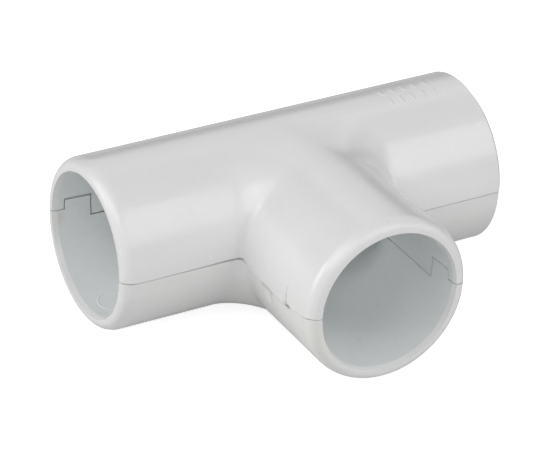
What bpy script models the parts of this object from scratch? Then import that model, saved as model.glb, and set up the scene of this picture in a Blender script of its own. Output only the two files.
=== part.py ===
"""White 25 mm conduit inspection tee: a base half and a cover half that snaps onto it.

Metres, +Z up. The run lies along X, the branch points to -Y, and the tee rests on the XY plane
with its plan box centred on the origin. The halves part at the height of the pipe axes.
"""
import math

import bmesh
import bpy
from mathutils import Matrix

MM = 0.001

# Driving dimensions
RUN_HALF = 36.9 * MM
BRANCH_LENGTH = 38.3 * MM
OUTER_RADIUS = 15.0 * MM
BORE_RADIUS = 12.5 * MM

# Rounded mouths of the left port and the branch, plain chamfer of the right port, bore lead-ins
RIM_DEPTH = 2.3 * MM
RIM_DROP = 1.7 * MM
CHAMFER_DEPTH = 1.1 * MM
CHAMFER_DROP = 1.45 * MM
LEAD_IN_DEPTH = 0.9 * MM
LEAD_IN = 0.3 * MM
RIM_STEPS = 4

# Blend between run and branch: it starts at one distance from the crossing at every angle
COVER_BLEND_START = 15.8 * MM
BASE_BLEND_START = 17.0 * MM
RIDGE_BLEND_RADIUS = 60.0 * MM
STRAIGHT_LENGTH = 16.0 * MM
RUN_STEPS = 2
BLEND_STEPS = 7

# Snap tabs of the base and the recesses they fill in the cover
CLEARANCE = 0.3 * MM
TAB_START = 2.4 * MM
TAB_END = 7.2 * MM
SKIN = 1.1 * MM
BEAD = 0.1 * MM

# Angles above the seam plane, seen from the pipe axis
HALF_SEAM = math.radians(0.55)
LIP_DEPTH = math.radians(9.5)
REBATE_DEPTH = math.radians(10.6)
TAB_HEIGHT = math.radians(7.9)
RECESS_HEIGHT = math.radians(9.1)
COVER_BEAD_HEIGHT = math.radians(3.0)
TAB_BEAD_LOW = math.radians(4.0)
TAB_BEAD_HIGH = math.radians(6.5)
BODY_STEPS = 9

# Raised marking ribs on the right arm, in two rows beside its top line
MARK_FIRST_X = 20.9 * MM
MARK_PITCH = 2.2 * MM
MARK_COUNT = 5
MARK_ROW_ANGLE = math.radians(6.2)
MARK_SIZE = (0.8 * MM, 2.1 * MM, 0.65 * MM)
MARK_HEIGHT = 0.2 * MM

# Lift of the pipe axes above the ground, and their shift that centres the plan box
AXIS_Z = OUTER_RADIUS
AXIS_Y = 0.5 * (BRANCH_LENGTH - OUTER_RADIUS)

# Wall levels from the bore to the outside, as radii
WALL_LEVELS = (
    BORE_RADIUS,
    BORE_RADIUS + SKIN,
    BORE_RADIUS + SKIN + BEAD,
    OUTER_RADIUS - SKIN - BEAD,
    OUTER_RADIUS - SKIN,
    OUTER_RADIUS,
)
INNER_SKIN = 0
TAB_BEAD = 1
COVER_BEAD = 3
OUTER_SKIN = 4


def clear_scene():
    """Start from an empty scene."""
    for item in list(bpy.data.objects):
        bpy.data.objects.remove(item, do_unlink=True)


def plastic(name, colour, roughness):
    """Satin white PVC."""
    material = bpy.data.materials.new(name)
    material.use_nodes = True
    shader = material.node_tree.nodes["Principled BSDF"]
    shader.inputs["Base Color"].default_value = (*colour, 1.0)
    shader.inputs["Roughness"].default_value = roughness
    shader.inputs["Metallic"].default_value = 0.0
    return material


def wall_radius(level, distance, plain_end):
    """Radius of a wall level at a distance in from an end face."""
    inner = BORE_RADIUS + LEAD_IN * max(0.0, 1.0 - distance / LEAD_IN_DEPTH)
    rise = max(0.0, 1.0 - distance / RIM_DEPTH)
    outer = OUTER_RADIUS - RIM_DROP * (1.0 - math.sqrt(1.0 - rise * rise))
    if plain_end:
        outer = OUTER_RADIUS - CHAMFER_DROP * max(0.0, 1.0 - distance / CHAMFER_DEPTH)
    share = (WALL_LEVELS[level] - BORE_RADIUS) / (OUTER_RADIUS - BORE_RADIUS)
    return inner + share * (outer - inner)


def port_distances():
    """Distances from an end face at which the wall changes, ending where the blend may begin."""
    distances = []
    for step in range(RIM_STEPS + 1):
        turn = 0.5 * math.pi * step / RIM_STEPS
        distances.append(RIM_DEPTH * (1.0 - math.cos(turn)))
    distances += [LEAD_IN_DEPTH, CHAMFER_DEPTH]
    distances += [TAB_START - CLEARANCE, TAB_START, TAB_END, TAB_END + CLEARANCE]
    distances.append(STRAIGHT_LENGTH)
    return sorted(distances)


def front_stations():
    """Stations of a front wall, from the end of the run around the crotch to the branch's end."""
    ports = port_distances()
    stations = [("run", distance) for distance in ports]
    stations += [("run_blend", step / RUN_STEPS) for step in range(1, RUN_STEPS)]
    stations += [("arc", step / BLEND_STEPS) for step in range(BLEND_STEPS + 1)]
    stations += [("branch_blend", step / RUN_STEPS) for step in range(1, RUN_STEPS)]
    stations += [("branch", distance) for distance in reversed(ports)]
    return stations


def back_stations():
    """Stations of the back wall, from the left end of the run to its right end."""
    ports = port_distances()
    left = [("run", distance) for distance in ports]
    left += [("back_blend", step / RUN_STEPS) for step in range(1, RUN_STEPS)]
    right = [("far_" + kind, value) for kind, value in reversed(left)]
    return left + [("back_blend", 1.0)] + right


def crotch_radius(angle, blend_start):
    """Blend radius at an angle from the seam plane, small at the seam and widest at the ridge."""
    radius = blend_start / max(math.cos(angle), 1e-6) - OUTER_RADIUS
    return radius / math.hypot(1.0, radius / RIDGE_BLEND_RADIUS)


def mix(start, end, share):
    """Value part of the way from start to end."""
    return start + (end - start) * share


def arc_point(radius, angle, blend_start, share):
    """Point on the rolling blend between the run's side and the branch's side."""
    cosine = math.cos(angle)
    sine = math.sin(angle)
    centre = OUTER_RADIUS + crotch_radius(angle, blend_start)
    spread = math.acos(min(1.0, sine * sine))
    if spread < 1e-6:
        return (0.0, 0.0, radius * sine)
    run_part = math.sin((1.0 - share) * spread) / math.sin(spread)
    branch_part = math.sin(share * spread) / math.sin(spread)
    reach = centre - radius
    x = -centre * cosine + reach * branch_part * cosine
    y = -centre * cosine + reach * run_part * cosine
    z = centre * sine - reach * (run_part + branch_part) * sine
    return (x, y, z)


def front_point(station, angle, level, blend_start, plain_end=False):
    """Point on the left front wall; plain_end chamfers the end of the run."""
    kind, value = station
    cosine = math.cos(angle)
    sine = math.sin(angle)
    distance = value if kind in ("run", "branch") else STRAIGHT_LENGTH
    radius = wall_radius(level, distance, plain_end and kind == "run")
    if kind == "arc":
        return arc_point(radius, angle, blend_start, value)
    bend = -(OUTER_RADIUS + crotch_radius(angle, blend_start)) * cosine
    if kind == "run":
        return (value - RUN_HALF, -radius * cosine, radius * sine)
    if kind == "run_blend":
        return (mix(STRAIGHT_LENGTH - RUN_HALF, bend, value), -radius * cosine, radius * sine)
    if kind == "branch_blend":
        end = STRAIGHT_LENGTH - BRANCH_LENGTH
        return (-radius * cosine, mix(bend, end, value), radius * sine)
    return (-radius * cosine, value - BRANCH_LENGTH, radius * sine)


def mirrored_front_point(station, angle, level, blend_start):
    """Point on the right front wall."""
    x, y, z = front_point(station, angle, level, blend_start, plain_end=True)
    return (-x, y, z)


def back_point(station, angle, level, blend_start):
    """Point on the back wall, which the crotch blend never reaches."""
    kind, value = station
    far = kind.startswith("far_")
    at_port = kind.endswith("run")
    distance = value if at_port else STRAIGHT_LENGTH
    radius = wall_radius(level, distance, far)
    x = value - RUN_HALF if at_port else mix(STRAIGHT_LENGTH - RUN_HALF, 0.0, value)
    return (-x if far else x, radius * math.cos(angle), radius * math.sin(angle))


def zone(first, second):
    """Name the part of a port that a stretch between two stations belongs to."""
    names = {first[0].replace("far_", ""), second[0].replace("far_", "")}
    if len(names) > 1 or not names <= {"run", "branch"}:
        return "deep"
    middle = 0.5 * (first[1] + second[1])
    if middle < TAB_START - CLEARANCE:
        return "rim"
    if middle < TAB_START:
        return "front_gap"
    if middle < TAB_END:
        return "tab"
    if middle < TAB_END + CLEARANCE:
        return "deep_gap"
    return "deep"


def cover_keeps(place, row, layer):
    """Cover: a lip hangs down between the tabs, and a recess takes each tab."""
    if row == 0:
        return place == "deep" and layer == INNER_SKIN
    if row > 2 or layer == OUTER_SKIN or place in ("rim", "deep"):
        return True
    return row == 1 and place == "tab" and layer == COVER_BEAD


def base_keeps(place, row, layer):
    """Base: a tab stands up at each side of a port, and a rebate takes the cover's lip."""
    if row in (0, 2):
        return place == "tab" and layer == INNER_SKIN
    if row == 1:
        return place == "tab" and layer in (INNER_SKIN, TAB_BEAD)
    if row > 3 or layer == OUTER_SKIN:
        return True
    return place in ("rim", "front_gap", "tab")


def body_angles(start):
    """Even angles from the last joint row to the ridge."""
    return [mix(start, 0.5 * math.pi, step / BODY_STEPS) for step in range(BODY_STEPS + 1)]


def wall_cells(stations, row_count, keeps):
    """Kept blocks of a wall, as (station, row, layer)."""
    cells = set()
    for index in range(len(stations) - 1):
        place = zone(stations[index], stations[index + 1])
        for row in range(row_count):
            for layer in range(len(WALL_LEVELS) - 1):
                if keeps(place, row, layer):
                    cells.add((index, row, layer))
    return cells


def cell_faces(cell, cells, ridge_row):
    """Corner triples of the sides of a block that face open air."""
    station, row, layer = cell
    sides = (
        ((-1, 0, 0), ((0, 0, 0), (0, 1, 0), (0, 1, 1), (0, 0, 1))),
        ((1, 0, 0), ((1, 0, 0), (1, 1, 0), (1, 1, 1), (1, 0, 1))),
        ((0, -1, 0), ((0, 0, 0), (1, 0, 0), (1, 0, 1), (0, 0, 1))),
        ((0, 1, 0), ((0, 1, 0), (1, 1, 0), (1, 1, 1), (0, 1, 1))),
        ((0, 0, -1), ((0, 0, 0), (1, 0, 0), (1, 1, 0), (0, 1, 0))),
        ((0, 0, 1), ((0, 0, 1), (1, 0, 1), (1, 1, 1), (0, 1, 1))),
    )
    faces = []
    for step, corners in sides:
        neighbour = (station + step[0], row + step[1], layer + step[2])
        if neighbour in cells or neighbour[1] == ridge_row:
            continue
        faces.append([(station + a, row + b, layer + c) for a, b, c in corners])
    return faces


def half_mesh(name, angles, side, blend_start, keeps):
    """Closed mesh of one half; side is 1 for the upper half and -1 for the lower."""
    shell = bmesh.new()
    corners = {}

    def corner(point):
        """Vertex at a point, shared by every wall that passes through it."""
        key = tuple(round(value * 1e7) for value in point)
        if key not in corners:
            corners[key] = shell.verts.new(point)
        return corners[key]

    walls = (
        (back_stations(), back_point),
        (front_stations(), front_point),
        (front_stations(), mirrored_front_point),
    )
    for stations, place_point in walls:
        cells = wall_cells(stations, len(angles) - 1, keeps)
        for cell in sorted(cells):
            for face in cell_faces(cell, cells, len(angles) - 1):
                ring = []
                for station, row, layer in face:
                    angle = side * angles[row]
                    vertex = corner(place_point(stations[station], angle, layer, blend_start))
                    if vertex not in ring:
                        ring.append(vertex)
                if len(ring) > 2:
                    shell.faces.new(ring)
    bmesh.ops.recalc_face_normals(shell, faces=shell.faces[:])
    mesh = bpy.data.meshes.new(name)
    shell.to_mesh(mesh)
    shell.free()
    return mesh


def add_object(name, mesh, material):
    """Place a mesh with its origin where the pipe axes cross."""
    item = bpy.data.objects.new(name, mesh)
    item.location = (0.0, AXIS_Y, AXIS_Z)
    mesh.materials.append(material)
    bpy.context.scene.collection.objects.link(item)
    return item


def shade_round(item, limit):
    """Smooth shading that keeps edges sharper than the limit."""
    item.data.shade_smooth()
    item.data.set_sharp_from_angle(angle=limit)


def build_base():
    """Lower half with the snap tabs."""
    angles = [-TAB_HEIGHT, -TAB_BEAD_HIGH, -TAB_BEAD_LOW, HALF_SEAM] + body_angles(REBATE_DEPTH)
    mesh = half_mesh("base_half", angles, -1.0, BASE_BLEND_START, base_keeps)
    return add_object("base_half", mesh, plastic("base_white_pvc", (0.80, 0.80, 0.785), 0.36))


def build_cover():
    """Upper half with the hanging lip."""
    angles = [-LIP_DEPTH, HALF_SEAM, COVER_BEAD_HEIGHT] + body_angles(RECESS_HEIGHT)
    mesh = half_mesh("cover_half", angles, 1.0, COVER_BLEND_START, cover_keeps)
    return add_object("cover_half", mesh, plastic("cover_white_pvc", (0.81, 0.81, 0.795), 0.34))


def add_marking_ribs(cover):
    """Fuse two rows of short raised ribs to the top of the right arm."""
    ribs = bmesh.new()
    centre_z = OUTER_RADIUS + MARK_HEIGHT - 0.5 * MARK_SIZE[2]
    for row_angle in (-MARK_ROW_ANGLE, MARK_ROW_ANGLE):
        tilt = Matrix.Rotation(row_angle, 3, "X")
        for index in range(MARK_COUNT):
            centre_x = MARK_FIRST_X + index * MARK_PITCH
            verts = bmesh.ops.create_cube(ribs, size=1.0)["verts"]
            bmesh.ops.scale(ribs, vec=MARK_SIZE, verts=verts)
            bmesh.ops.translate(ribs, vec=(centre_x, 0.0, centre_z), verts=verts)
            bmesh.ops.rotate(ribs, cent=(0.0, 0.0, 0.0), matrix=tilt, verts=verts)
    mesh = bpy.data.meshes.new("marking_ribs")
    ribs.to_mesh(mesh)
    ribs.free()
    tool = bpy.data.objects.new("marking_ribs", mesh)
    tool.location = cover.location
    tool.hide_render = True
    tool.display_type = "WIRE"
    bpy.context.scene.collection.objects.link(tool)
    union = cover.modifiers.new("fuse_marking_ribs", "BOOLEAN")
    union.operation = "UNION"
    union.solver = "EXACT"
    union.object = tool


def main():
    """Build the tee."""
    clear_scene()
    base = build_base()
    cover = build_cover()
    shade_round(base, math.radians(32.0))
    shade_round(cover, math.radians(32.0))
    add_marking_ribs(cover)


main()
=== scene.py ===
"""Visual model of a white conduit inspection tee: two satin plastic half shells on a pale floor."""

import math
from collections import namedtuple

import bmesh
import bpy
from mathutils import Matrix, Vector


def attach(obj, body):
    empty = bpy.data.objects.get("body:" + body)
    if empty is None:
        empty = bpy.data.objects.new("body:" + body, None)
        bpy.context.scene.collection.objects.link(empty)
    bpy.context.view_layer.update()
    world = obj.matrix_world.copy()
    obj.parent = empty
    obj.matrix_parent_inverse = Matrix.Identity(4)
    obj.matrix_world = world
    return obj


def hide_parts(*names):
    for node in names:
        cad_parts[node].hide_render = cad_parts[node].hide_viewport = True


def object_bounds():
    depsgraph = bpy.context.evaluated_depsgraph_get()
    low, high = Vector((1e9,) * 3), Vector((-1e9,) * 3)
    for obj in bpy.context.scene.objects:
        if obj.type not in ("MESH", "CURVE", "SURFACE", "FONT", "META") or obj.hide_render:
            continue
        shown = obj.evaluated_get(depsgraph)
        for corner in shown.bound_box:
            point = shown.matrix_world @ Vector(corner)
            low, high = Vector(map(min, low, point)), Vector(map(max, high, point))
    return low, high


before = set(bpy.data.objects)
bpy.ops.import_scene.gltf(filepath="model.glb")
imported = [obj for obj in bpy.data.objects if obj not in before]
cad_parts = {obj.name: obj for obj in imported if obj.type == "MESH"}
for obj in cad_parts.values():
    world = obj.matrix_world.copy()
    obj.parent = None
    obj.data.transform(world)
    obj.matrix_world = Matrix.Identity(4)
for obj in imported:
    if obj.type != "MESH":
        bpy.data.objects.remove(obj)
cad_low, cad_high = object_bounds()

MM = 0.001

# Size of the tee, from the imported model's box and its bore
OUTER_RADIUS = 15.0 * MM
BORE_RADIUS = 12.5 * MM
RUN_HALF = cad_high[0]
AXIS_Y = cad_high[1] - OUTER_RADIUS
AXIS_Z = OUTER_RADIUS
BRANCH_LENGTH = AXIS_Y - cad_low[1]

# Rounded mouths of the left port and the branch, plain chamfer of the right port, bore lead-ins
RIM_DEPTH = 2.3 * MM
RIM_DROP = 1.7 * MM
CHAMFER_DEPTH = 1.1 * MM
CHAMFER_DROP = 1.45 * MM
LEAD_IN_DEPTH = 0.9 * MM
LEAD_IN = 0.3 * MM
RIM_STEPS = 9

# Blend between run and branch: it starts at one distance from the crossing at every angle
COVER_BLEND_START = 15.8 * MM
BASE_BLEND_START = 17.0 * MM
RIDGE_BLEND_RADIUS = 60.0 * MM
STRAIGHT_LENGTH = 16.0 * MM
RUN_STEPS = 6
BLEND_STEPS = 14
TAB_STEPS = 8
SEAM_STEPS = 16

# Corners of neighbouring walls that agree to this many steps in a metre are one vertex
CORNER_GRID = 1e8

# Joint between the halves: places along a port, then angles from the seam plane
CLEARANCE = 0.22 * MM
TAB_START = 2.4 * MM
TAB_END = 7.2 * MM
SKIN = 1.1 * MM
BEAD = 0.1 * MM
LIP_DEPTH = math.radians(9.5)
RUN_REBATE_DEPTH = math.radians(10.6)
BRANCH_REBATE_DEPTH = math.radians(10.0)
TAB_RISE_AT_START = math.radians(8.1)
TAB_RISE_AT_END = math.radians(7.1)
RUN_RECESS_PLAY = math.radians(1.9)
BRANCH_RECESS_PLAY = math.radians(1.0)
BODY_START = math.radians(12.0)
COVER_BEAD_HEIGHT = math.radians(3.0)
TAB_BEAD_LOW = math.radians(4.0)
TAB_BEAD_HIGH = math.radians(6.5)
BODY_STEPS = 28
EDGE_ROUND = 0.09 * MM
EDGE_ANGLE = math.radians(45.0)

# Radii that part the wall into layers, and the names of the layers and of the last level
WALL_LEVELS = (
    BORE_RADIUS,
    BORE_RADIUS + SKIN,
    BORE_RADIUS + SKIN + BEAD,
    OUTER_RADIUS - SKIN - BEAD,
    OUTER_RADIUS - SKIN,
    OUTER_RADIUS,
)
INNER_SKIN = 0
TAB_BEAD = 1
COVER_BEAD = 3
OUTER_SKIN = 4
OUTSIDE = 5

# Seam line along a wall in millimetres, as (distance from the run's end, drop, gap)
WORN_SEAM = (
    (0.0, 0.0, 0.34),
    (1.2, 0.0, 0.30),
    (2.6, 0.0, 0.13),
    (6.0, 0.0, 0.12),
    (14.0, 0.0, 0.22),
    (19.5, 0.0, 0.36),
    (21.9, 0.1, 0.34),
    (24.0, 0.4, 0.10),
    (26.0, 0.8, 0.06),
    (28.4, 1.07, 0.12),
    (30.8, 1.25, 0.50),
    (32.4, 1.30, 0.20),
    (35.4, 1.33, 0.14),
    (36.7, 1.15, 0.14),
    (37.2, 0.95, 0.60),
    (37.9, 0.85, 0.60),
    (38.4, 0.8, 0.08),
    (41.5, 0.35, 0.07),
    (42.5, 0.17, 0.12),
    (45.2, -0.27, 0.16),
)
RIGHT_SEAM = (
    (0.0, 0.0, 0.15),
    (37.0, 0.0, 0.15),
    (42.5, 0.0, 0.34),
    (45.2, 0.0, 0.34),
)
BACK_GAP = 0.28 * MM

# Dents near the worn seam, as (y and z from the axes' crossing, half sizes, depth)
DENTS = (
    ((-24.2 * MM, -2.6 * MM), (1.1 * MM, 2.2 * MM), 0.22 * MM),
    ((-27.0 * MM, -2.2 * MM), (0.8 * MM, 1.6 * MM), -0.05 * MM),
)

# Raised marking on the right arm: two rows of short ribs beside its top line
MARK_FIRST_X = 20.9 * MM
MARK_PITCH = 2.2 * MM
MARK_COUNT = 5
MARK_ROW_ANGLE = math.radians(6.2)
MARK_HALF_WIDTH = 0.4 * MM
MARK_HALF_LENGTH = 1.05 * MM
MARK_HEIGHT = 0.10 * MM
RIB_ROUND = 0.30 * MM
RIB_ROUND_STEPS = 5
RIB_OUTLINE_STEPS = 32
RIB_SQUARENESS = 0.5

# Faint ring that an ejector pin leaves on the floor of the bore near each end of the run
RING_RADIUS = 3.0 * MM
RING_HALF_WIDTH = 0.16 * MM
RING_HEIGHT = 0.05 * MM
RING_FROM_END = 5.9 * MM
RING_STEPS = 72
RING_SECTION_STEPS = 10

# How far a raised detail sinks into the wall that carries it
SINK = 0.06 * MM

# Sides of a block, as (step to the neighbour, corners), both in (station, row, layer)
SIDES = (
    ((-1, 0, 0), ((0, 0, 0), (0, 1, 0), (0, 1, 1), (0, 0, 1))),
    ((1, 0, 0), ((1, 0, 0), (1, 1, 0), (1, 1, 1), (1, 0, 1))),
    ((0, -1, 0), ((0, 0, 0), (1, 0, 0), (1, 0, 1), (0, 0, 1))),
    ((0, 1, 0), ((0, 1, 0), (1, 1, 0), (1, 1, 1), (0, 1, 1))),
    ((0, 0, -1), ((0, 0, 0), (1, 0, 0), (1, 1, 0), (0, 1, 0))),
    ((0, 0, 1), ((0, 0, 1), (1, 0, 1), (1, 1, 1), (0, 1, 1))),
)

# Scratches on the surface, and painted shade darkening the seam gap, in millimetres from the axes'
# crossing: (start, end, half width, strength), dark where the strength is positive and light where it
# is negative
OUTSIDE_LINES = (
    ((-14.8, -29.9, 2.5), (-14.9, -30.0, 0.9), 0.30, 0.15),
    ((-14.9, -30.0, 0.9), (-15.0, -30.1, -0.6), 0.36, 0.26),
    # Painted shade: the next two lines darken the seam gap at its blob and its wedge, under the
    # cover's edge
    ((-15.0, -29.7, -0.8), (-15.0, -30.9, -0.9), 0.75, 0.28),
    ((-15.0, -22.2, -1.15), (-15.0, -25.2, -1.35), 0.55, 0.20),
    ((-0.8, -2.6, 14.8), (1.3, -3.9, 14.5), 0.35, 0.16),
)
BORE_LINES = (((0.9, -17.4, -12.5), (3.7, -17.9, -12.0), 0.22, -0.25),)

# Dark spots: (centre, radius, strength)
OUTSIDE_SPOTS = (
    ((-3.7, -37.0, 14.5), 0.26, 0.22),
    ((-0.4, -37.1, 14.9), 0.26, 0.22),
    ((-35.0, 0.1, 14.9), 0.26, 0.18),
    ((-33.9, 5.2, 14.1), 0.34, 0.14),
)
BORE_SPOTS = (
    ((7.0, -23.8, -10.4), 0.8, 0.07),
    ((4.3, -25.4, -11.7), 0.7, 0.05),
    ((0.0, -29.3, -12.5), 0.8, 0.06),
    ((5.1, -32.7, -11.4), 0.6, 0.06),
)

# Stained patches: (centre, radius, strength, colour)
YELLOWED_RIM = ((-14.0, -38.0, -5.0), 9.0, 0.5, (0.86, 0.85, 0.80, 1.0))
MOUTH_STAIN = ((-35.8, 12.7, -1.4), 1.7, 0.6, (0.78, 0.74, 0.68, 1.0))

# Dust specks: (cells to the metre, radius as a share of a cell, share of cells with one, strength)
OUTSIDE_SPECKS = (420.0, 0.075, 0.5, 0.34)
BORE_SPECKS = (330.0, 0.08, 0.35, 0.16)

# Colours of the plastic, and of the dirt and the painted seam shade on it
BASE_WHITE = (0.87, 0.87, 0.865)
COVER_WHITE = (0.875, 0.875, 0.872)
BORE_WHITE = (0.87, 0.895, 0.895)
WHITE = (1.0, 1.0, 1.0, 1.0)
DIRT_AND_PAINTED_SHADE = (0.30, 0.28, 0.25, 1.0)

# Finish: how much the mottle darkens, roughness, and height of the grain and of the waves
OUTSIDE_MOTTLE = 0.03
BORE_MOTTLE = 0.05
OUTSIDE_ROUGHNESS = 0.17
SMEAR_ROUGHNESS = 0.26
BORE_ROUGHNESS = 0.31
OUTSIDE_GRAIN = 0.0015 * MM
BORE_GRAIN = 0.003 * MM
WAVE_HEIGHT = 0.03 * MM

# Share of the mottle that is cloud, and share of a mark's width that has its full strength
CLOUD_SHARE = 0.6
LINE_CORE = 0.3
SPOT_CORE = 0.2

# Waves to the metre in each pattern of noise, and the smears' stretch along the run
CLOUD_SCALE = 85.0
WAVE_SCALE = 130.0
SMEAR_SCALE = 170.0
MOTTLE_SCALE = 1100.0
GRAIN_SCALE = 1500.0
SMEAR_STRETCH = (0.4, 1.0, 1.0)

# Sockets of the mix node that carry colours
MIX_FACTOR = 0
MIX_UNDER = 6
MIX_OVER = 7
MIX_RESULT = 2

# Camera: heading, tilt and roll of its view, and its aim in millimetres from the axes' crossing
CAMERA_HEADING = math.radians(-30.09)
CAMERA_TILT = math.radians(59.79)
CAMERA_ROLL = math.radians(2.15)
CAMERA_DISTANCE = 570.8 * MM
CAMERA_AIM = (-1.3, -1.95, -4.03)
CAMERA_LENS = 216.5
CAMERA_SENSOR = 36.0
CAMERA_REACH = 20.0

# Floor and backdrop: size, colour, and glow as a light and as the camera sees it
FLOOR_SIZE = 6.0
FLOOR_COLOUR = (0.6, 0.6, 0.6, 1.0)
FLOOR_ROUGHNESS = 0.9
FLOOR_GLOW = 0.093
BACKDROP_GLOW = 0.8

# Softboxes round the tee: name, bearing from the front, elevation, width, height, watts
LIGHT_DISTANCE = 1.2
SOFTBOXES = (
    ("key", 27.0, 38.0, 0.90, 0.87, 5.0),
    ("fill_front", -25.0, 30.0, 0.75, 0.75, 2.4),
    ("fill_left", -70.0, 45.0, 0.75, 0.75, 4.0),
    ("fill_back_left", -110.0, 45.0, 0.75, 0.75, 2.7),
    ("fill_right", 115.0, 40.0, 0.75, 0.75, 0.8),
    ("fill_back", 150.0, 35.0, 0.75, 0.75, 1.4),
    ("low_back_left", -115.0, 15.0, 0.60, 0.60, 4.0),
    ("low_right", 60.0, 15.0, 0.60, 0.60, 2.0),
)


# One wall: its stations, the function that places its points, and the course of its seam
Wall = namedtuple("Wall", "stations place_point seam_at")

# One half: its mesh's name, row angles, side (1 up, -1 down), blend start and kept blocks
Half = namedtuple("Half", "name angles_at side blend_start keeps")


def mix(start, end, share):
    """Value part of the way from start to end."""
    return start + (end - start) * share


def wall_radius(level, distance, plain_end):
    """Radius of a wall level at a distance in from an end face."""
    inner = BORE_RADIUS + LEAD_IN * max(0.0, 1.0 - distance / LEAD_IN_DEPTH)
    rise = max(0.0, 1.0 - distance / RIM_DEPTH)
    outer = OUTER_RADIUS - RIM_DROP * (1.0 - math.sqrt(1.0 - rise * rise))
    if plain_end:
        outer = OUTER_RADIUS - CHAMFER_DROP * max(0.0, 1.0 - distance / CHAMFER_DEPTH)
    share = (WALL_LEVELS[level] - BORE_RADIUS) / (OUTER_RADIUS - BORE_RADIUS)
    return inner + share * (outer - inner)


def port_distances():
    """Distances from an end face at which the wall is cut into stations."""
    distances = {LEAD_IN_DEPTH, CHAMFER_DEPTH}
    distances |= {TAB_START - CLEARANCE, TAB_START, TAB_END, TAB_END + CLEARANCE}
    for step in range(RIM_STEPS + 1):
        distances.add(RIM_DEPTH * (1.0 - math.cos(0.5 * math.pi * step / RIM_STEPS)))
    distances |= {mix(TAB_START, TAB_END, step / TAB_STEPS) for step in range(1, TAB_STEPS)}
    for step in range(1, SEAM_STEPS + 1):
        distances.add(mix(TAB_END + CLEARANCE, STRAIGHT_LENGTH, step / SEAM_STEPS))
    return sorted(distances)


def front_stations():
    """Stations of a front wall, from the end of the run around the crotch to the branch's end."""
    ports = port_distances()
    stations = [("run", distance) for distance in ports]
    stations += [("run_blend", step / RUN_STEPS) for step in range(1, RUN_STEPS)]
    stations += [("arc", step / BLEND_STEPS) for step in range(BLEND_STEPS + 1)]
    stations += [("branch_blend", step / RUN_STEPS) for step in range(1, RUN_STEPS)]
    stations += [("branch", distance) for distance in reversed(ports)]
    return stations


def back_stations():
    """Stations of the back wall, from the left end of the run to its right end."""
    ports = port_distances()
    left = [("run", distance) for distance in ports]
    left += [("back_blend", step / RUN_STEPS) for step in range(1, RUN_STEPS)]
    right = [("far_" + kind, value) for kind, value in reversed(left)]
    return left + [("back_blend", 1.0)] + right


def crotch_radius(angle, blend_start):
    """Blend radius at an angle from the seam plane, small at the seam and widest at the ridge."""
    radius = blend_start / max(math.cos(angle), 1e-6) - OUTER_RADIUS
    return radius / math.hypot(1.0, radius / RIDGE_BLEND_RADIUS)


def arc_point(radius, angle, blend_start, share):
    """Point on the rolling blend between the run's side and the branch's side."""
    cosine = math.cos(angle)
    sine = math.sin(angle)
    centre = OUTER_RADIUS + crotch_radius(angle, blend_start)
    spread = math.acos(min(1.0, sine * sine))
    if spread < 1e-6:
        return (0.0, 0.0, radius * sine)
    run_part = math.sin((1.0 - share) * spread) / math.sin(spread)
    branch_part = math.sin(share * spread) / math.sin(spread)
    reach = centre - radius
    x = -centre * cosine + reach * branch_part * cosine
    y = -centre * cosine + reach * run_part * cosine
    z = centre * sine - reach * (run_part + branch_part) * sine
    return (x, y, z)


def front_point(station, angle, level, blend_start, plain_end=False):
    """Point on the left front wall; plain_end chamfers the end of the run."""
    kind, value = station
    cosine = math.cos(angle)
    sine = math.sin(angle)
    distance = value if kind in ("run", "branch") else STRAIGHT_LENGTH
    radius = wall_radius(level, distance, plain_end and kind == "run")
    if kind == "arc":
        return arc_point(radius, angle, blend_start, value)
    bend = -(OUTER_RADIUS + crotch_radius(angle, blend_start)) * cosine
    if kind == "run":
        return (value - RUN_HALF, -radius * cosine, radius * sine)
    if kind == "run_blend":
        return (mix(STRAIGHT_LENGTH - RUN_HALF, bend, value), -radius * cosine, radius * sine)
    if kind == "branch_blend":
        end = STRAIGHT_LENGTH - BRANCH_LENGTH
        return (-radius * cosine, mix(bend, end, value), radius * sine)
    return (-radius * cosine, value - BRANCH_LENGTH, radius * sine)


def worn_front_point(station, angle, level, blend_start):
    """Point on the left front wall, with its outside pressed in or swollen by the dents."""
    x, y, z = front_point(station, angle, level, blend_start)
    if level == OUTSIDE:
        for (centre_y, centre_z), (half_along, half_down), depth in DENTS:
            reach = math.hypot((y - centre_y) / half_along, (z - centre_z) / half_down)
            x += depth * max(0.0, 1.0 - reach * reach) ** 2
    return (x, y, z)


def mirrored_front_point(station, angle, level, blend_start):
    """Point on the right front wall."""
    x, y, z = front_point(station, angle, level, blend_start, plain_end=True)
    return (-x, y, z)


def back_point(station, angle, level, blend_start):
    """Point on the back wall, which the crotch blend never reaches."""
    kind, value = station
    far = kind.startswith("far_")
    at_port = kind.endswith("run")
    distance = value if at_port else STRAIGHT_LENGTH
    radius = wall_radius(level, distance, far)
    x = value - RUN_HALF if at_port else mix(STRAIGHT_LENGTH - RUN_HALF, 0.0, value)
    return (-x if far else x, radius * math.cos(angle), radius * math.sin(angle))


def along_front(station, blend_start):
    """Distance along the front wall at the seam, from the end of the run."""
    x, y, _ = front_point(station, 0.0, OUTSIDE, blend_start)
    return (RUN_HALF + x) + (-OUTER_RADIUS - y)


def front_seam(station, blend_start, course):
    """Drop of the seam's middle and width of its gap at a front station, read from its course."""
    place = along_front(station, blend_start) / MM
    for (start, drop_a, gap_a), (end, drop_b, gap_b) in zip(course, course[1:]):
        if place <= end:
            share = max(0.0, (place - start) / (end - start))
            share = share * share * (3.0 - 2.0 * share)
            return mix(drop_a, drop_b, share) * MM, mix(gap_a, gap_b, share) * MM
    return course[-1][1] * MM, course[-1][2] * MM


def worn_seam(station, blend_start):
    """Drop and gap of the seam on the left front wall."""
    return front_seam(station, blend_start, WORN_SEAM)


def right_seam(station, blend_start):
    """Drop and gap of the seam on the right front wall."""
    return front_seam(station, blend_start, RIGHT_SEAM)


def back_seam(_station, _blend_start):
    """Drop and gap of the seam on the back wall, the same all along."""
    return 0.0, BACK_GAP


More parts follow.
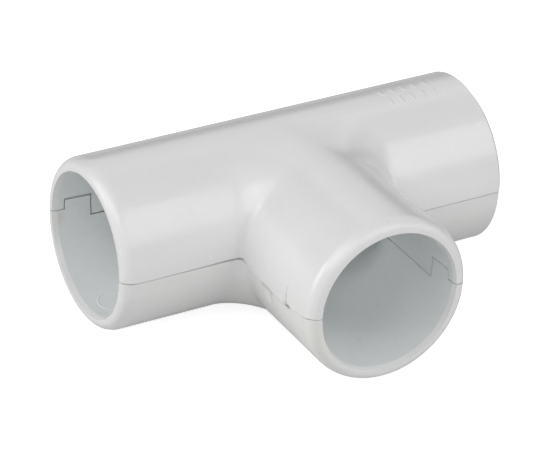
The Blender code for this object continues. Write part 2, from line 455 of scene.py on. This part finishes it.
def tab_rise(station):
    """Height of a tab's slanting top edge at a station."""
    kind, distance = station
    if not kind.endswith(("run", "branch")):
        return TAB_RISE_AT_END
    share = min(1.0, max(0.0, (distance - TAB_START) / (TAB_END - TAB_START)))
    return mix(TAB_RISE_AT_START, TAB_RISE_AT_END, share)


def zone(first, second):
    """Name the part of a port that a stretch between two stations belongs to."""
    names = {first[0].replace("far_", ""), second[0].replace("far_", "")}
    if len(names) > 1 or not names <= {"run", "branch"}:
        return "deep"
    middle = 0.5 * (first[1] + second[1])
    if middle < TAB_START - CLEARANCE:
        return "rim"
    if middle < TAB_START:
        return "front_gap"
    if middle < TAB_END:
        return "tab"
    if middle < TAB_END + CLEARANCE:
        return "deep_gap"
    return "deep"


def cover_keeps(place, row, layer):
    """Cover: a lip hangs down between the tabs, and a recess takes each tab."""
    if row == 0:
        return place == "deep" and layer == INNER_SKIN
    if row > 2 or layer == OUTER_SKIN or place in ("rim", "deep"):
        return True
    return row == 1 and place == "tab" and layer == COVER_BEAD


def base_keeps(place, row, layer):
    """Base: a tab stands up at each side of a port, and a rebate takes the cover's lip."""
    if row in (0, 2):
        return place == "tab" and layer == INNER_SKIN
    if row == 1:
        return place == "tab" and layer in (INNER_SKIN, TAB_BEAD)
    if row > 3 or layer == OUTER_SKIN:
        return True
    return place in ("rim", "front_gap", "tab")


def body_angles(start):
    """Even angles from the last joint row to the ridge."""
    return [mix(start, 0.5 * math.pi, step / BODY_STEPS) for step in range(BODY_STEPS + 1)]


def tee_walls():
    """The tee's walls, which meet at the ridge lines and at the axes' crossing."""
    return (
        Wall(back_stations(), back_point, back_seam),
        Wall(front_stations(), worn_front_point, worn_seam),
        Wall(front_stations(), mirrored_front_point, right_seam),
    )


def cover_angles(station, seam_at):
    """Row angles of the cover at a station, measured upward."""
    drop, gap = seam_at(station, COVER_BLEND_START)
    seam = math.asin((0.5 * gap - drop) / OUTER_RADIUS)
    play = BRANCH_RECESS_PLAY if station[0] == "branch" else RUN_RECESS_PLAY
    recess = tab_rise(station) + play
    return [-LIP_DEPTH, seam, COVER_BEAD_HEIGHT, recess] + body_angles(BODY_START)


def base_angles(station, seam_at):
    """Row angles of the base at a station, measured downward."""
    drop, gap = seam_at(station, BASE_BLEND_START)
    seam = math.asin((0.5 * gap + drop) / OUTER_RADIUS)
    rebate = BRANCH_REBATE_DEPTH if station[0].startswith("branch") else RUN_REBATE_DEPTH
    return [-tab_rise(station), -TAB_BEAD_HIGH, -TAB_BEAD_LOW, seam, rebate] + body_angles(BODY_START)


def wall_cells(stations, row_count, keeps):
    """Kept blocks of a wall, as (station, row, layer)."""
    cells = set()
    for index in range(len(stations) - 1):
        place = zone(stations[index], stations[index + 1])
        for row in range(row_count):
            for layer in range(len(WALL_LEVELS) - 1):
                if keeps(place, row, layer):
                    cells.add((index, row, layer))
    return cells


def open_sides(cell, cells, ridge_row):
    """Corner triples of the sides of a block that face open air."""
    station, row, layer = cell
    faces = []
    for step, corners in SIDES:
        neighbour = (station + step[0], row + step[1], layer + step[2])
        if neighbour in cells or neighbour[1] == ridge_row:
            continue
        faces.append([(station + a, row + b, layer + c) for a, b, c in corners])
    return faces


def in_bore(stations, face):
    """Whether a face lies on the bore's wall, deeper than the lead-in of a port."""
    for station, _, layer in face:
        kind, value = stations[station]
        if layer != 0 or (kind.endswith(("run", "branch")) and value < LEAD_IN_DEPTH):
            return False
    return True


def wall_faces(half, wall):
    """Corner points and material slot of every open face of a wall."""
    angles = [half.angles_at(station, wall.seam_at) for station in wall.stations]
    ridge_row = len(angles[0]) - 1
    cells = wall_cells(wall.stations, ridge_row, half.keeps)
    for cell in sorted(cells):
        for face in open_sides(cell, cells, ridge_row):
            points = []
            for index, row, layer in face:
                angle = half.side * angles[index][row]
                points.append(wall.place_point(wall.stations[index], angle, layer, half.blend_start))
            yield points, int(in_bore(wall.stations, face))


def half_shell(half, outside, bore):
    """One closed half shell, whose walls share the corners where they meet."""
    shell = bmesh.new()
    corners = {}
    for wall in tee_walls():
        for points, slot in wall_faces(half, wall):
            ring = []
            for point in points:
                key = tuple(round(value * CORNER_GRID) for value in point)
                if key not in corners:
                    corners[key] = shell.verts.new(point)
                if corners[key] not in ring:
                    ring.append(corners[key])
            if len(ring) > 2:
                shell.faces.new(ring).material_index = slot
    item = placed_mesh(half.name, shell, (outside, bore))
    round_edges(item)
    return item


def placed_mesh(name, mesh_data, materials):
    """Turn closed bodies about the pipe axes into a smooth-shaded object in its place."""
    bmesh.ops.recalc_face_normals(mesh_data, faces=mesh_data.faces[:])
    bmesh.ops.translate(mesh_data, vec=(0.0, AXIS_Y, AXIS_Z), verts=mesh_data.verts[:])
    mesh = bpy.data.meshes.new(name)
    mesh_data.to_mesh(mesh)
    mesh_data.free()
    for material in materials:
        mesh.materials.append(material)
    mesh.shade_smooth()
    item = bpy.data.objects.new(name, mesh)
    bpy.context.scene.collection.objects.link(item)
    return item


def round_edges(item):
    """Round a piece's sharp edges lightly."""
    bevel = item.modifiers.new("edge_rounding", "BEVEL")
    bevel.width = EDGE_ROUND
    bevel.segments = 2
    bevel.limit_method = "ANGLE"
    bevel.angle_limit = EDGE_ANGLE
    bevel.harden_normals = True


def closed_band(mesh, rows, wrap):
    """Skin rows of vertices with quads; wrap joins the last row to the first."""
    pairs = list(zip(rows, rows[1:]))
    if wrap:
        pairs.append((rows[-1], rows[0]))
    for row, following in pairs:
        for index in range(len(row)):
            after = (index + 1) % len(row)
            mesh.faces.new((row[index], row[after], following[after], following[index]))


def rib_rings():
    """Height and inset of each outline ring of a rib, from inside the wall to the crest."""
    rings = [(-SINK, 0.0)]
    for step in range(RIB_ROUND_STEPS + 1):
        turn = 0.5 * math.pi * step / RIB_ROUND_STEPS
        rings.append((MARK_HEIGHT * math.sin(turn), RIB_ROUND * (1.0 - math.cos(turn))))
    return rings


def squared(value):
    """Sine or cosine pushed outward, so that a circle turns into a rounded rectangle."""
    return math.copysign(abs(value) ** RIB_SQUARENESS, value)


def add_rib(mesh, centre_x, centre_angle):
    """One low rounded rib that follows the wall's curve."""
    rings = []
    for lift, inset in rib_rings():
        radius = OUTER_RADIUS + lift
        ring = []
        for step in range(RIB_OUTLINE_STEPS):
            turn = 2.0 * math.pi * step / RIB_OUTLINE_STEPS
            x = centre_x + (MARK_HALF_WIDTH - inset) * squared(math.cos(turn))
            along = (MARK_HALF_LENGTH - inset) * squared(math.sin(turn))
            angle = centre_angle + along / OUTER_RADIUS
            ring.append(mesh.verts.new((x, radius * math.sin(angle), radius * math.cos(angle))))
        rings.append(ring)
    closed_band(mesh, rings, False)
    mesh.faces.new(rings[0])
    mesh.faces.new(rings[-1])


def size_marking(material):
    """Two rows of raised ribs in place of the moulded size text."""
    mesh = bmesh.new()
    for centre_angle in (-MARK_ROW_ANGLE, MARK_ROW_ANGLE):
        for index in range(MARK_COUNT):
            add_rib(mesh, MARK_FIRST_X + index * MARK_PITCH, centre_angle)
    return placed_mesh("size_marking", mesh, (material,))


def add_ring(mesh, centre_x):
    """One raised ring lying on the floor of the bore."""
    rows = []
    for turn_step in range(RING_STEPS):
        turn = 2.0 * math.pi * turn_step / RING_STEPS
        row = []
        for step in range(RING_SECTION_STEPS):
            around = 2.0 * math.pi * step / RING_SECTION_STEPS
            reach = RING_RADIUS + RING_HALF_WIDTH * math.cos(around)
            lift = (RING_HEIGHT + SINK) * 0.5 * (1.0 + math.sin(around)) - SINK
            radius = BORE_RADIUS - lift
            angle = reach * math.sin(turn) / BORE_RADIUS
            x = centre_x + reach * math.cos(turn)
            row.append(mesh.verts.new((x, radius * math.sin(angle), -radius * math.cos(angle))))
        rows.append(row)
    closed_band(mesh, rows, True)


def ejector_rings(material):
    """Faint moulding rings on the floor of the run's bore."""
    mesh = bmesh.new()
    for side in (-1.0, 1.0):
        add_ring(mesh, side * (RUN_HALF - RING_FROM_END))
    return placed_mesh("ejector_rings", mesh, (material,))


class NodeMaker:
    """Short calls that add nodes to one material and link them."""

    def __init__(self, material):
        material.use_nodes = True
        self.tree = material.node_tree
        self.shader = self.tree.nodes["Principled BSDF"]
        self.place = self.node("TexCoord").outputs["Object"]

    def node(self, kind, inputs=None, **settings):
        """Add a node, set its properties, and fill or link its inputs."""
        made = self.tree.nodes.new("ShaderNode" + kind)
        for name, value in settings.items():
            setattr(made, name, value)
        for key, value in (inputs or {}).items():
            self.feed(made.inputs[key], value)
        return made

    def feed(self, socket, value):
        """Link a socket, or set its value."""
        if isinstance(value, bpy.types.NodeSocket):
            self.tree.links.new(value, socket)
        else:
            socket.default_value = value

    def math(self, operation, first, second=0.0):
        """Arithmetic on one or two numbers."""
        return self.node("Math", {0: first, 1: second}, operation=operation).outputs[0]

    def vector(self, operation, first, second=(0.0, 0.0, 0.0)):
        """Arithmetic on vectors."""
        return self.node("VectorMath", {0: first, 1: second}, operation=operation)

    def noise(self, scale, detail, stretch=(1.0, 1.0, 1.0)):
        """Even noise, centred near one half."""
        place = self.vector("MULTIPLY", self.place, stretch).outputs["Vector"]
        inputs = {"Vector": place, "Scale": scale, "Detail": detail}
        return self.node("TexNoise", inputs).outputs["Fac"]

    def step(self, value, start, end, low=0.0, high=1.0):
        """Smooth step of a value from start to end."""
        inputs = {"Value": value, "From Min": start, "From Max": end, "To Min": low, "To Max": high}
        return self.node("MapRange", inputs, interpolation_type="SMOOTHSTEP").outputs["Result"]

    def tint(self, factor, under, over):
        """Blend from one colour to another."""
        inputs = {MIX_FACTOR: factor, MIX_UNDER: under, MIX_OVER: over}
        return self.node("Mix", inputs, data_type="RGBA").outputs[MIX_RESULT]


def from_crossing(place):
    """Place in metres of a point given in millimetres from the axes' crossing."""
    return Vector((place[0] * MM, place[1] * MM + AXIS_Y, place[2] * MM + AXIS_Z))


def line_mask(maker, start, end, half_width):
    """Mask of a fine line between two points."""
    start = from_crossing(start)
    reach = from_crossing(end) - start
    away = maker.vector("SUBTRACT", maker.place, tuple(start)).outputs["Vector"]
    along = maker.vector("DOT_PRODUCT", away, tuple(reach.normalized())).outputs["Value"]
    held = maker.math("MINIMUM", maker.math("MAXIMUM", along, 0.0), reach.length)
    inputs = {0: tuple(reach.normalized()), "Scale": held}
    nearest = maker.node("VectorMath", inputs, operation="SCALE").outputs["Vector"]
    gap = maker.vector("DISTANCE", away, nearest).outputs["Value"]
    return maker.step(gap, LINE_CORE * half_width * MM, half_width * MM, 1.0, 0.0)


def spot_mask(maker, centre, radius):
    """Mask of a ball around a point."""
    gap = maker.vector("DISTANCE", maker.place, tuple(from_crossing(centre))).outputs["Value"]
    return maker.step(gap, SPOT_CORE * radius * MM, radius * MM, 1.0, 0.0)


def specked(maker, shade, specks):
    """Colour with dust specks, one at the centre of some of the cells of a pattern."""
    scale, radius, share, strength = specks
    cells = maker.node("TexVoronoi", {"Vector": maker.place, "Scale": scale})
    near = maker.step(cells.outputs["Distance"], 0.0, radius, 1.0, 0.0)
    pick = maker.node("SeparateColor", {0: cells.outputs["Color"]}).outputs[0]
    mask = maker.math("MULTIPLY", near, maker.math("LESS_THAN", pick, share))
    return maker.tint(maker.math("MULTIPLY", mask, strength), shade, DIRT_AND_PAINTED_SHADE)


def stained(maker, shade, stain):
    """Colour with one stained patch."""
    centre, radius, strength, colour = stain
    mask = spot_mask(maker, centre, radius)
    return maker.tint(maker.math("MULTIPLY", mask, strength), shade, colour)


def marked(maker, shade, lines, spots):
    """Colour with its scratches and spots, and with any painted shade lines in the seam gap."""
    masks = [(line_mask(maker, start, end, width), strength) for start, end, width, strength in lines]
    masks += [(spot_mask(maker, centre, radius), strength) for centre, radius, strength in spots]
    for mask, strength in masks:
        over = DIRT_AND_PAINTED_SHADE if strength > 0.0 else WHITE
        shade = maker.tint(maker.math("MULTIPLY", mask, abs(strength)), shade, over)
    return shade


def mottled(maker, colour, depth):
    """Colour with faint cloudy moulding mottle and a finer grain."""
    deeper = tuple(value * (1.0 - depth) for value in colour)
    cloud = maker.step(maker.noise(CLOUD_SCALE, 3.0), 0.25, 0.75)
    grain = maker.step(maker.noise(MOTTLE_SCALE, 3.0), 0.3, 0.7)
    cloud_part = maker.math("MULTIPLY", cloud, CLOUD_SHARE)
    grain_part = maker.math("MULTIPLY", grain, 1.0 - CLOUD_SHARE)
    return maker.tint(maker.math("ADD", cloud_part, grain_part), (*colour, 1.0), (*deeper, 1.0))


def bumped(maker, scale, height, under=None):
    """Normal with even bumps, on top of another normal where one is given."""
    inputs = {"Height": maker.noise(scale, 2.0), "Distance": height, "Strength": 1.0}
    if under:
        inputs["Normal"] = under
    return maker.node("Bump", inputs).outputs["Normal"]


def surface_relief(maker, grain_depth):
    """Normal with slow moulding waves and a fine grain."""
    waves = bumped(maker, WAVE_SCALE, WAVE_HEIGHT)
    return bumped(maker, GRAIN_SCALE, grain_depth, waves)


def outside_pvc(name, colour):
    """Satin white PVC of the outside: handling smears, dust specks, a few scratches and painted shade
    in the seam gap.
    """
    material = bpy.data.materials.new(name)
    maker = NodeMaker(material)
    shade = mottled(maker, colour, OUTSIDE_MOTTLE)
    shade = specked(maker, shade, OUTSIDE_SPECKS)
    shade = stained(maker, shade, YELLOWED_RIM)
    shade = marked(maker, shade, OUTSIDE_LINES, OUTSIDE_SPOTS)
    smear = maker.noise(SMEAR_SCALE, 4.0, SMEAR_STRETCH)
    roughness = maker.step(smear, 0.35, 0.7, OUTSIDE_ROUGHNESS, SMEAR_ROUGHNESS)
    maker.feed(maker.shader.inputs["Base Color"], shade)
    maker.feed(maker.shader.inputs["Roughness"], roughness)
    maker.feed(maker.shader.inputs["Normal"], surface_relief(maker, OUTSIDE_GRAIN))
    return material


def bore_pvc(name):
    """Duller PVC of the bore, with dust blotches and a warm stain in the left mouth."""
    material = bpy.data.materials.new(name)
    maker = NodeMaker(material)
    shade = mottled(maker, BORE_WHITE, BORE_MOTTLE)
    shade = specked(maker, shade, BORE_SPECKS)
    shade = stained(maker, shade, MOUTH_STAIN)
    shade = marked(maker, shade, BORE_LINES, BORE_SPOTS)
    maker.feed(maker.shader.inputs["Base Color"], shade)
    maker.feed(maker.shader.inputs["Roughness"], BORE_ROUGHNESS)
    maker.feed(maker.shader.inputs["Normal"], surface_relief(maker, BORE_GRAIN))
    return material


def point_camera():
    """Camera at the product shot's angle."""
    data = bpy.data.cameras.new("camera")
    data.lens = CAMERA_LENS
    data.sensor_width = CAMERA_SENSOR
    data.clip_end = CAMERA_REACH
    camera = bpy.data.objects.new("camera", data)
    bpy.context.scene.collection.objects.link(camera)
    turn = Matrix.Rotation(CAMERA_HEADING, 4, "Z") @ Matrix.Rotation(CAMERA_TILT, 4, "X")
    turn = turn @ Matrix.Rotation(CAMERA_ROLL, 4, "Z")
    back = Matrix.Translation((0.0, 0.0, CAMERA_DISTANCE))
    camera.matrix_world = Matrix.Translation(from_crossing(CAMERA_AIM)) @ turn @ back
    bpy.context.scene.camera = camera


def add_floor():
    """Plain white floor, which looks brighter to the camera than the light it gives the tee."""
    material = bpy.data.materials.new("floor_white")
    material.use_nodes = True
    tree = material.node_tree
    seen = tree.nodes["Principled BSDF"]
    lighting = tree.nodes.new("ShaderNodeBsdfPrincipled")
    for shader, glow in ((seen, BACKDROP_GLOW), (lighting, FLOOR_GLOW)):
        shader.inputs["Base Color"].default_value = FLOOR_COLOUR
        shader.inputs["Roughness"].default_value = FLOOR_ROUGHNESS
        shader.inputs["Emission Color"].default_value = WHITE
        shader.inputs["Emission Strength"].default_value = glow
    blend = tree.nodes.new("ShaderNodeMixShader")
    ray = tree.nodes.new("ShaderNodeLightPath")
    tree.links.new(ray.outputs["Is Camera Ray"], blend.inputs[0])
    tree.links.new(lighting.outputs[0], blend.inputs[1])
    tree.links.new(seen.outputs[0], blend.inputs[2])
    tree.links.new(blend.outputs[0], tree.nodes["Material Output"].inputs["Surface"])
    bpy.ops.mesh.primitive_plane_add(size=FLOOR_SIZE, location=(0.0, 0.0, 0.0))
    floor = bpy.context.active_object
    floor.name = "floor"
    floor.data.materials.append(material)


def add_softbox(name, bearing, elevation, width, height, power):
    """Rectangular area light aimed at the tee."""
    data = bpy.data.lights.new(name, "AREA")
    data.shape = "RECTANGLE"
    data.size = width
    data.size_y = height
    data.energy = power
    light = bpy.data.objects.new(name, data)
    bpy.context.scene.collection.objects.link(light)
    turn = math.radians(bearing)
    rise = math.radians(elevation)
    level = math.cos(rise)
    aim = Vector((level * math.sin(turn), -level * math.cos(turn), math.sin(rise)))
    light.location = aim * LIGHT_DISTANCE + from_crossing((0.0, 0.0, 0.0))
    light.rotation_euler = aim.to_track_quat("Z", "Y").to_euler()


def light_scene():
    """Soft studio light in a dim room with a white backdrop."""
    world = bpy.data.worlds.new("studio")
    bpy.context.scene.world = world
    world.use_nodes = True
    tree = world.node_tree
    background = tree.nodes["Background"]
    background.inputs["Color"].default_value = WHITE
    ray = tree.nodes.new("ShaderNodeLightPath")
    tree.links.new(ray.outputs["Is Camera Ray"], background.inputs["Strength"])
    for softbox in SOFTBOXES:
        add_softbox(*softbox)
    bpy.context.scene.view_settings.view_transform = "Standard"


def build():
    """Make both halves and their raised details, and put them on their bodies."""
    base_half = Half("base_shell", base_angles, -1.0, BASE_BLEND_START, base_keeps)
    bore = bore_pvc("base_bore_pvc")
    base = half_shell(base_half, outside_pvc("base_white_pvc", BASE_WHITE), bore)
    rings = ejector_rings(bore)
    cover_half = Half("cover_shell", cover_angles, 1.0, COVER_BLEND_START, cover_keeps)
    outside = outside_pvc("cover_white_pvc", COVER_WHITE)
    cover = half_shell(cover_half, outside, bore_pvc("cover_bore_pvc"))
    marking = size_marking(outside)
    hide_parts("base_half")
    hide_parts("cover_half")
    for piece, body in ((base, "base"), (rings, "base"), (cover, "cover"), (marking, "cover")):
        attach(piece, body)


build()
add_floor()
point_camera()
light_scene()
